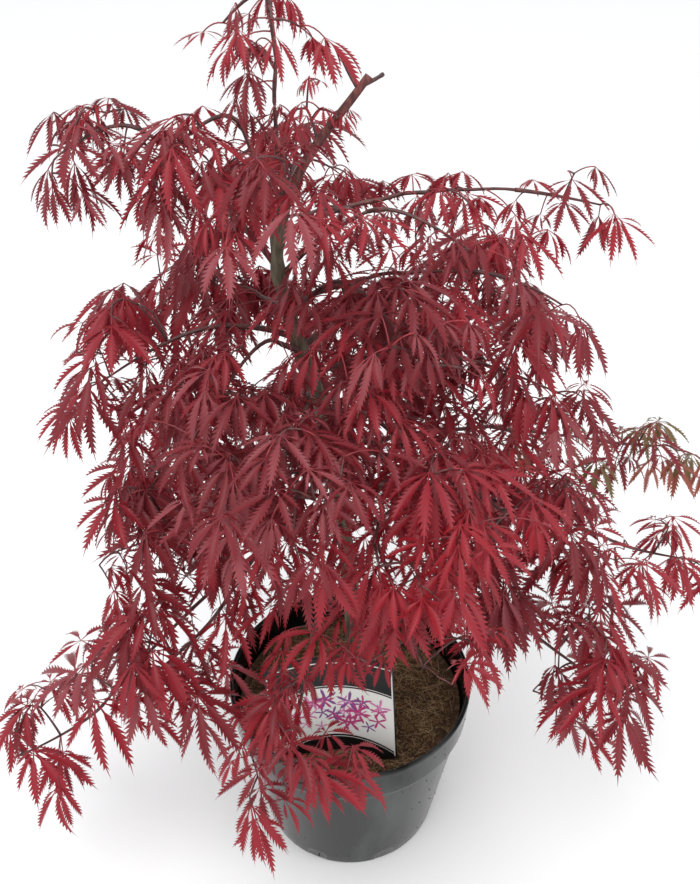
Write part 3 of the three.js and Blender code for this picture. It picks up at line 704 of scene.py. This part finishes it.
# %% Bark materials
YOUNG_BARK = 0.615, 0.67  # the heights in metres between which old bark gives way to young
bark, tree, principled = shader("trunk_bark", rgb(92, 84, 70), 0.8)
streaks = pattern(tree, 60, (6, 6, 1), Detail=6.0)
old = ramp(tree, streaks, [(0.3, rgb(58, 50, 42)), (0.5, rgb(98, 90, 74)), (0.68, rgb(122, 116, 96))])
young = ramp(tree, streaks, [(0.3, rgb(52, 27, 27)), (0.52, rgb(92, 46, 44)), (0.72, rgb(122, 78, 68))])
place = tree.nodes.new("ShaderNodeTexCoord")
split = tree.nodes.new("ShaderNodeSeparateXYZ")
tree.links.new(place.outputs["Object"], split.inputs["Vector"])
height = tree.nodes.new("ShaderNodeMapRange")
height.inputs["From Min"].default_value, height.inputs["From Max"].default_value = YOUNG_BARK
tree.links.new(split.outputs["Z"], height.inputs["Value"])
colour = blended(tree, height.outputs["Result"], old, young)
tree.links.new(colour, principled.inputs["Base Color"])
bump(tree, streaks, 0.6, 0.0012, principled)

twig_bark, tree, principled = shader("young_bark", rgb(74, 34, 34), 0.55, Coat_Weight=0.12)
grain = pattern(tree, 140, Detail=4.0)
colour = ramp(tree, grain, [(0.3, rgb(48, 24, 25)), (0.55, rgb(84, 38, 38)), (0.75, rgb(110, 62, 54))])
tree.links.new(colour, principled.inputs["Base Color"])
bump(tree, grain, 0.4, 0.0006, principled)

stalk_skin, tree, principled = shader("stalk_skin", rgb(122, 24, 34), 0.42)
grain = pattern(tree, 90, Detail=2.0)
colour = ramp(tree, grain, [(0.35, rgb(96, 20, 28)), (0.65, rgb(146, 34, 42))])
tree.links.new(colour, principled.inputs["Base Color"])

# %% The trunk
TRUNK_STEPS, TRUNK_SIDES = 360, 40
TRUNK_LENGTH, FOOT_RADIUS, TIP_RADIUS = 610, 8.5, 2.6


def trunk_surface():
    """Rings along the trunk's line. The radius tapers evenly, flares at the foot in four low root ridges,
    swells a little at each fork and is roughened by two sizes of noise."""
    line = evenly(trunk_line, np.linspace(0, 1, TRUNK_STEPS))
    share = np.linspace(0, 1, TRUNK_STEPS)[:, None]
    height = share * TRUNK_LENGTH
    angle = np.linspace(0, 2 * np.pi, TRUNK_SIDES, endpoint=False)[None]
    flare = np.maximum(0, 1 - height / 38) ** 2
    radius = FOOT_RADIUS + (TIP_RADIUS - FOOT_RADIUS) * share
    radius = radius + 6.5 * flare * (1 + 0.16 * np.cos(4 * angle + 0.7))
    for mass in MASSES.values():
        if mass.fork:
            radius = radius + 0.9 * np.exp(-(((line[:, 2:3] - mass.fork) / 7) ** 2))
    around = np.stack(np.broadcast_arrays(np.cos(angle) * 8, np.sin(angle) * 8, height * 0.35), axis=-1)
    radius = radius * (1 + 0.05 * noise(around, 9, 3) + 0.025 * noise(around * [1, 1, 0.4], 2.5, 4))
    way = np.gradient(line, axis=0)
    way /= np.linalg.norm(way, axis=1, keepdims=True)
    across = np.cross([0, 1.0, 0], way)
    across /= np.linalg.norm(across, axis=1, keepdims=True)
    over = np.cross(way, across)
    ring = np.cos(angle)[..., None] * across[:, None] + np.sin(angle)[..., None] * over[:, None]
    points = line[:, None] + radius[..., None] * ring
    points[0, :, 2] = line[0, 2]
    faces = strip_faces(TRUNK_STEPS, TRUNK_SIDES, True)
    first = np.arange(TRUNK_SIDES)
    ends = np.stack([first[::-1], first + (TRUNK_STEPS - 1) * TRUNK_SIDES])
    return points.reshape(-1, 3), [faces, ends]


trunk = make("trunk_wood", *trunk_surface(), bark, "trunk_bark")
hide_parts("trunk")

# %% Boughs, twigs and stalks
FINE_STEPS = 6  # of a twig or a stalk
fine_shares = np.linspace(0, 1, FINE_STEPS)
boughs, twigs, stalk_lines, stalk_radii = [], [], [], []
for plant in plants:
    own = plant["stalks"]
    if plant["bough"] is not None:
        share = np.linspace(0, 1, BOUGH_STEPS)
        wander = noise(plant["bough"], 26, 7)[:, None] * [2.2, 2.2, 1.6] * np.sin(np.pi * share)[:, None]
        knots = 0.28 * np.maximum(0, np.cos(share * 2 * np.pi * 5)) ** 6
        start = min(2.8, 0.9 + 0.28 * math.sqrt(MASSES[plant["name"]].leaves))
        boughs.append(tubes([plant["bough"] + wander], [start * (1 - 0.5 * share) + knots], 9))
    start = 1.2 if plant["name"] == "trunk_tip" else 1.6
    roots = np.array([stalk["line"][0] for stalk in own if stalk["leaf"] or stalk["carries"]])
    near = np.linalg.norm(roots[:, None] - plant["stem"][None], axis=2).min(axis=0) < 1
    share = np.linspace(0, 1, STEM_STEPS)
    line = evenly(plant["stem"][: np.flatnonzero(near).max() + 1], share)
    twigs.append(tubes([line], [start - (start - 0.7) * share], 7))
    for stalk in own:
        line = stalk["line"]
        if stalk["carries"]:
            radius = 0.5 + 0.22 * math.sqrt(stalk["carries"])
            woody = evenly(line[: FORK_STEP + 1], fine_shares)
            twigs.append(tubes([woody], [np.linspace(radius, max(0.45, radius * 0.7), FINE_STEPS)], 6))
        if stalk["leaf"]:
            stalk_lines.append(evenly(line[FORK_STEP:] if stalk["carries"] else line, fine_shares))
            stalk_radii.append(np.linspace(0.55, 0.42, FINE_STEPS))
made = make("bough_wood", *merged(boughs), twig_bark, "bough_bark")
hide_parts(*[name for name in frame["nodes"] if name.startswith("bough_")])
make("twigs", *merged(twigs), twig_bark, "bough_bark")
make("stalks", *tubes(stalk_lines, stalk_radii, 5), stalk_skin, "foliage")

# %% [markdown]
# The pruned leader ends in a clean cut with two short side shoots, and two old stubs stand below it.

# %% The pruned tip
shoots = []
for bearing, rise, reach, start, radius in (
    (20, 6, 15, trunk_line[-6], 1.4),
    (150, 22, 14, trunk_line[-8], 1.3),
    (215, 20, 13, trunk_line[-52], 1.7),
    (330, 12, 8, trunk_line[-30], 1.2),
):
    end = start + level(bearing) * reach + UP * rise
    line = bent(start, (start + end) / 2 + level(bearing) * 2.5, end, 9)
    swell = radius * (1 + 0.35 * np.exp(-((np.linspace(0, 1, 9) - 0.86) ** 2) / 0.006))
    shoots.append(tubes([line], [swell * np.linspace(1.1, 0.8, 9)], 9))
make("pruned_shoots", *merged(shoots), twig_bark, "bough_bark")

# %% [markdown]
# The pot is moulded in one piece: a body that tapers down, a step, an upright band with a rounded rim, and
# a foot with small drainage slots. It is one profile turned round the axis. Fine waves keep its walls from
# being too true.

# %% The pot
POT_SIDES = 240
POT_PROFILE = [  # radius, height: from the middle of the floor, up the outside, over the rim, down inside
    *((0, 0.8), (40, 0.8), (78, 0.8), (79.6, 0.2), (80.6, 0), (82.4, 0.2), (83.6, 1.2), (84.1, 3)),
    *((86.6, 17), (90.4, 40), (94.2, 64), (98.1, 88), (102, 112), (105.6, 134), (106.6, 140.2)),
    *((107.2, 141.8), (108.6, 142.6), (110.0, 143.2), (110.6, 144.4), (110.8, 146), (111.3, 155)),
    *((111.9, 165), (112.3, 172), (112.5, 174.2), (112.2, 175.4), (111.2, 176), (109.6, 175.9)),
    *((108.6, 175.2), (108, 173.6), (107.4, 160), (106.4, 148), (104.6, 142.4), (103.2, 139.6)),
    *((99.5, 118), (92, 70), (84, 20), (81, 3.6), (79, 3), (40, 3), (0, 3)),
]


def pot_surface():
    """The profile turned round, its waist waved by 0.5 mm, and notched at the eight drainage slots."""
    radius, height = (np.array(column, dtype=float)[:, None] for column in zip(*POT_PROFILE))
    angle = np.linspace(0, 2 * np.pi, POT_SIDES, endpoint=False)[None]
    waist = np.clip((height - 10) / 60, 0, 1) * np.clip((176 - height) / 60, 0, 1)
    wave = 0.5 * np.sin(3 * angle + 0.4) * waist
    wide = np.where(radius > 60, radius + wave, radius)
    turn = np.degrees(angle) % 45 - 22.5
    slot = np.clip((6.0 - np.abs(turn)) * 2, 0, 1) * np.clip((radius - 70) / 8, 0, 1) * (height < 3.5)
    tall = np.maximum(height, 0) + 2.5 * slot * (height < 2.9)
    points = np.stack([wide * np.cos(angle), wide * np.sin(angle), tall + 0 * angle], axis=-1)
    rows = len(POT_PROFILE)
    body = points[1:-1].reshape(-1, 3)
    poles = np.array([[0, 0, POT_PROFILE[0][1]], [0, 0, POT_PROFILE[-1][1]]])
    under = cap(len(body), 0, POT_SIDES, below=True)
    inside = cap(len(body) + 1, (rows - 3) * POT_SIDES, POT_SIDES)
    return np.vstack([body, poles]), [strip_faces(rows - 2, POT_SIDES, True), under, inside]


gloss = {"Specular_IOR_Level": 0.07, "Coat_Weight": 0.6, "Coat_Roughness": 0.16, "Coat_IOR": 1.3}
plastic, tree, principled = shader("pot_plastic", rgb(14, 15, 16), 0.22, **gloss)
film = pattern(tree, 11, (1, 1, 0.35), Detail=5.0, Roughness=0.55)
specks = pattern(tree, 260, Detail=6.0, Roughness=0.75)
clean = ramp(tree, film, [(0.42, rgb(9, 10, 10)), (0.54, rgb(22, 24, 24)), (0.66, rgb(62, 65, 64))])
dirt = ramp(tree, specks, [(0.66, (0, 0, 0, 1)), (0.73, (1, 1, 1, 1))])
colour = blended(tree, dirt, clean, rgb(66, 52, 38))
tree.links.new(colour, principled.inputs["Base Color"])
rough = ramp(tree, film, [(0.42, (0.12, 0.12, 0.12, 1)), (0.64, (0.42, 0.42, 0.42, 1))])
tree.links.new(rough, principled.inputs["Roughness"])
bump(tree, pattern(tree, 420, Detail=3.0), 0.12, 0.0004, principled)
pot = make("pot_shell", *pot_surface(), plastic, "pot_plastic")
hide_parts("pot")

# %% [markdown]
# The compost is a crumbly disc, higher round the trunk and sunk at the wall. Its surface is a polar grid
# raised by noise of three sizes. Coir fibres lie on it: thin bent tubes that follow the surface and lift a
# little at their ends.

# %% The compost
RINGS, SPOKES = 110, 300
COMPOST_TOP, COMPOST_RADIUS, FLOOR_HEIGHT, FLOOR_RADIUS = 149.2, 104.2, 4, 80.4


def compost_height(x, y):
    """Height of the surface: a low cone to the wall, with lumps of 22, 8 and 3 mm."""
    far = np.hypot(x, y)
    place = np.stack([x, y, 0 * x], axis=-1)
    lumps = 1.5 * noise(place, 22, 11) + 1.0 * noise(place, 8, 12) + 0.7 * noise(place, 3.2, 13)
    rim = np.clip((104 - far) / 8, 0, 1)
    return COMPOST_TOP - 3.8 * np.clip((far - 30) / 62, 0, 1) + lumps * rim


def compost_surface():
    """A polar grid out to the wall, closed by a ring on the pot's floor, and a pole at each end."""
    radius = COMPOST_RADIUS * np.linspace(1 / RINGS, 1, RINGS)[:, None]
    angle = np.linspace(0, 2 * np.pi, SPOKES, endpoint=False)[None]
    x, y = radius * np.cos(angle), radius * np.sin(angle)
    top = np.stack([x, y, compost_height(x, y)], axis=-1).reshape(-1, 3)
    x, y = np.cos(angle[0]) * FLOOR_RADIUS, np.sin(angle[0]) * FLOOR_RADIUS
    wall = np.stack([x, y, 0 * x + FLOOR_HEIGHT], axis=-1)
    middle = float(compost_height(np.zeros(1), np.zeros(1))[0])
    points = np.vstack([top, wall, [[0, 0, middle], [0, 0, FLOOR_HEIGHT]]])
    upper = cap(len(points) - 2, 0, SPOKES)
    under = cap(len(points) - 1, RINGS * SPOKES, SPOKES, below=True)
    return points, [strip_faces(RINGS + 1, SPOKES, True)[:, ::-1], upper, under]


soil, tree, principled = shader("compost", rgb(72, 54, 40), 0.95)
crumbs = pattern(tree, 260, Detail=8.0, Roughness=0.7)
colour = ramp(tree, crumbs, [(0.3, rgb(54, 41, 29)), (0.5, rgb(96, 74, 53)), (0.64, rgb(140, 115, 84))])
tree.links.new(colour, principled.inputs["Base Color"])
bump(tree, crumbs, 0.9, 0.002, principled)
made = make("compost_top", *compost_surface(), soil, "compost")
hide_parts("compost")


# %% Coir fibres and crumbs
def fibres(count, longest, radius, seed):
    """Bent hairs on the compost: each starts at a random place, turns evenly, and rises by up to 4 mm
    towards its ends. Any that would leave the pot or enter the trunk is left out."""
    own = np.random.default_rng(seed)
    start = np.sqrt(own.uniform(0.02, 0.98, count))[:, None] * 100
    at = own.uniform(0, 2 * np.pi, count)[:, None]
    length = own.uniform(0.35, 1, count)[:, None] * longest
    share = np.linspace(0, 1, 7)[None]
    heading = own.uniform(0, 2 * np.pi, count)[:, None] + own.normal(0, 1.1, count)[:, None] * share
    x = start * np.cos(at) + np.cumsum(np.cos(heading), axis=1) * length / 7
    y = start * np.sin(at) + np.cumsum(np.sin(heading), axis=1) * length / 7
    lift = own.uniform(0.2, 2.6, count)[:, None] * np.abs(share - own.uniform(0, 1, count)[:, None]) * 1.6
    lines = np.stack([x, y, compost_height(x, y) + radius + lift], axis=-1)
    _, side, back = TRUNK_LINE[0]
    keep = (np.hypot(x, y) < 101).all(axis=1) & (np.hypot(x - side, y - back) > 13).all(axis=1)
    lines = lines[keep]
    return tubes(lines, np.full(lines.shape[:2], radius), 3)


for name, count, longest, radius, colour in (
    ("coir_pale", 900, 34, 0.28, rgb(196, 170, 128)),
    ("coir_tan", 1500, 26, 0.32, rgb(156, 124, 84)),
    ("coir_dark", 1500, 22, 0.36, rgb(84, 62, 43)),
):
    hair, tree, principled = shader(name, colour, 0.85)
    grain = pattern(tree, 500, Detail=2.0)
    bump(tree, grain, 0.3, 0.0003, principled)
    make(name, *fibres(count, longest, radius, len(name) + count), hair, "compost")

# %% [markdown]
# Watering throws soil about: crumbs lie on the compost, and dark specks stick to the outside of the pot.


# %% Crumbs and specks
def crumbs_at(places, sizes, seed):
    """A lump at each place: an octahedron whose corners stand off by unequal shares of its size."""
    own = np.random.default_rng(seed)
    corners = np.array([[1, 0, 0], [0, 1, 0], [-1, 0, 0], [0, -1, 0], [0, 0, 1], [0, 0, -1]], dtype=float)
    faces = np.array([[0, 1, 4], [1, 2, 4], [2, 3, 4], [3, 0, 4], [1, 0, 5], [2, 1, 5], [3, 2, 5], [0, 3, 5]])
    lumps = corners[None] * sizes[:, None, None] * own.uniform(0.6, 1.2, (len(places), 6, 1))
    points = (places[:, None] + lumps).reshape(-1, 3)
    return points, [(faces[None] + 6 * np.arange(len(places))[:, None, None]).reshape(-1, 3)]


CRUMBS, SPECKS = 900, 220
deal = np.random.default_rng(41)
radius, angle = 100 * np.sqrt(deal.uniform(0.02, 1, CRUMBS)), deal.uniform(0, 2 * np.pi, CRUMBS)
x, y = radius * np.cos(angle), radius * np.sin(angle)
places = np.stack([x, y, compost_height(x, y) + 0.4], axis=-1)
lumps = crumbs_at(places, deal.uniform(0.6, 2.0, CRUMBS), 42)
make("compost_crumbs", *lumps, soil, "compost", smooth=False)
height, angle = 4 + 168 * deal.uniform(0, 1, SPECKS) ** 1.4, deal.uniform(0, 2 * np.pi, SPECKS)
outside = POT_PROFILE[7:22]
radius = np.interp(height, [row[1] for row in outside], [row[0] for row in outside])
places = np.stack([radius * np.cos(angle), radius * np.sin(angle), height], axis=-1)
lumps = crumbs_at(places, deal.uniform(0.3, 0.95, SPECKS), 43)
make("pot_specks", *lumps, soil, "compost", smooth=False)

# %% [markdown]
# The plant label is a thin card with a bow across its width, pushed into the compost in front of the trunk.
# Its print is a plain design: a pale panel with a spray of pink leaves between white arcs, on a dark
# ground. Each printed shape is a skin a few hundredths of a millimetre above the card.

# %% The label
LABEL = dict(width=110, height=121, sunk=16, tab=0.45, foot=(-13, -62, 150), lean=9, roll=3, bow=15)
HALF_THICK, PRINT = 0.45, 0.56  # of the card, and how far the printed leaves stand before its middle


def on_card(side, up, lift):
    """A point of the card from its place across, its height above the compost and how far it stands before
    the card's middle. The card is bowed by the square of side, rolled, leaned back and set at its foot."""
    z = LABEL["bow"] * (side / (LABEL["width"] / 2)) ** 2 + lift
    roll, lean = math.radians(LABEL["roll"]), math.radians(90 - LABEL["lean"])
    x, y = side * math.cos(roll) - up * math.sin(roll), side * math.sin(roll) + up * math.cos(roll)
    y, z = y * math.cos(lean) - z * math.sin(lean), y * math.sin(lean) + z * math.cos(lean)
    return np.stack([x, y, z], axis=-1) + LABEL["foot"]


def card_half_width(up):
    """Half the card's width at a height: narrowing to a tab in the compost, with rounded top corners."""
    half, top = LABEL["width"] / 2, LABEL["height"] - LABEL["sunk"]
    tab = half * (LABEL["tab"] + (1 - LABEL["tab"]) * np.clip(1 + up / LABEL["sunk"], 0, 1))
    corner = np.clip(up - (top - 6), 0, 6)
    return tab - (6 - np.sqrt(np.maximum(36 - corner**2, 0)))


def card_surface():
    """A front and a back grid, 0.9 mm apart and sewn together round their edge."""
    rows, columns = 60, 41
    up = np.linspace(-LABEL["sunk"], LABEL["height"] - LABEL["sunk"], rows)[:, None]
    side = np.linspace(-1, 1, columns)[None] * card_half_width(up)
    front = on_card(side, up + 0 * side, HALF_THICK).reshape(-1, 3)
    back = on_card(side, up + 0 * side, -HALF_THICK).reshape(-1, 3)
    faces = strip_faces(rows, columns, False)
    grid = np.arange(rows * columns).reshape(rows, columns)
    edge = np.concatenate([grid[0, :-1], grid[:-1, -1], grid[-1, :0:-1], grid[:0:-1, 0]])
    after, count = np.roll(edge, -1), rows * columns
    rim = np.stack([edge, edge + count, after + count, after], axis=-1)
    return np.vstack([front, back]), [faces, faces[:, ::-1] + count, rim]


def printed(low, high, left, right, lift, rows=24, columns=40):
    """A skin on the card between two heights, each a function of the share across, and two such shares."""
    share = np.linspace(left, right, columns)[None] * np.ones((rows, 1))
    blend = np.linspace(0, 1, rows)[:, None]
    up = low(share) * (1 - blend) + high(share) * blend
    side = share * LABEL["width"] / 2
    return on_card(side, up, HALF_THICK + lift).reshape(-1, 3), [strip_faces(rows, columns, False)]


def arc(height, sag):
    """A shallow arc across the card: height at its middle, lower by sag at its edges."""
    return lambda share: height - sag * share**2


def leaf_prints(seed, count, size):
    """Small printed leaves of five pointed petals, dealt over the panel."""
    own, steps, prints = np.random.default_rng(seed), 40, []
    for _ in range(count):
        side, up = own.uniform(-42, 42), own.uniform(28, 60)
        turn, wide = own.uniform(0, 2 * np.pi), size * own.uniform(0.6, 1.1)
        angle = turn + np.linspace(0, 2 * np.pi, steps, endpoint=False)
        radius = wide * (0.14 + 0.86 * np.abs(np.cos(2.5 * (angle - turn))) ** 5)
        ring = on_card(side + radius * np.cos(angle), up + radius * np.sin(angle), PRINT)
        middle = on_card(np.array([side]), np.array([up]), PRINT)
        prints.append((np.vstack([ring, middle]), [cap(steps, 0, steps)]))
    return merged(prints)


def print_material(name, colour):
    """Glossy printed card of one colour."""
    material, tree, principled = shader(name, colour, 0.34, Specular_IOR_Level=0.3)
    bump(tree, pattern(tree, 700, Detail=1.0), 0.05, 0.0002, principled)
    return material


card = make("label_card", *card_surface(), print_material("card_dark", rgb(20, 21, 22)), "label_card")
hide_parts("plant_label")
white = print_material("card_white", rgb(226, 226, 222))
lines = [
    printed(arc(73, 4), arc(73.7, 4), -0.96, 0.96, 0.05, 3),
    printed(arc(70, 4), arc(71.3, 4), -0.96, 0.96, 0.05, 3),
    printed(arc(18, 12), arc(19.3, 12), -0.96, 0.96, 0.05, 3),
    printed(arc(15.2, 12), arc(15.9, 12), -0.96, 0.96, 0.05, 3),
    printed(arc(2, 0), arc(97, 0), -0.975, -0.955, 0.05, 40, 3),
    printed(arc(2, 0), arc(97, 0), 0.955, 0.975, 0.05, 40, 3),
    printed(arc(98, 0), arc(99.2, 0), -0.95, 0.95, 0.05, 3),
]
make("label_lines", *merged(lines), white, "label_card")
pale = print_material("card_pale", rgb(228, 230, 224))
make("label_panel", *printed(arc(19.3, 12), arc(70, 4), -0.955, 0.955, 0.04), pale, "label_card")
for name, seed, count, size, colour in (
    ("label_leaves_plum", 5, 9, 12, rgb(128, 76, 138)),
    ("label_leaves_pink", 6, 13, 12, rgb(182, 64, 120)),
    ("label_leaves_rose", 7, 12, 10, rgb(206, 132, 176)),
):
    make(name, *leaf_prints(seed, count, size), print_material(name, colour), "label_card")

# %% [markdown]
# The floor is plain and pale. It is not attached to the plant.

# %% Floor
floor_skin, *_ = shader("floor", (0.86, 0.86, 0.86, 1), 0.75)
floor_mesh = bpy.data.meshes.new("floor")
floor_mesh.from_pydata([(-12, -12, 0), (12, -12, 0), (12, 12, 0), (-12, 12, 0)], [], [(0, 1, 2, 3)])
floor_mesh.materials.append(floor_skin)
floor = bpy.data.objects.new("floor", floor_mesh)
scene.collection.objects.link(floor)
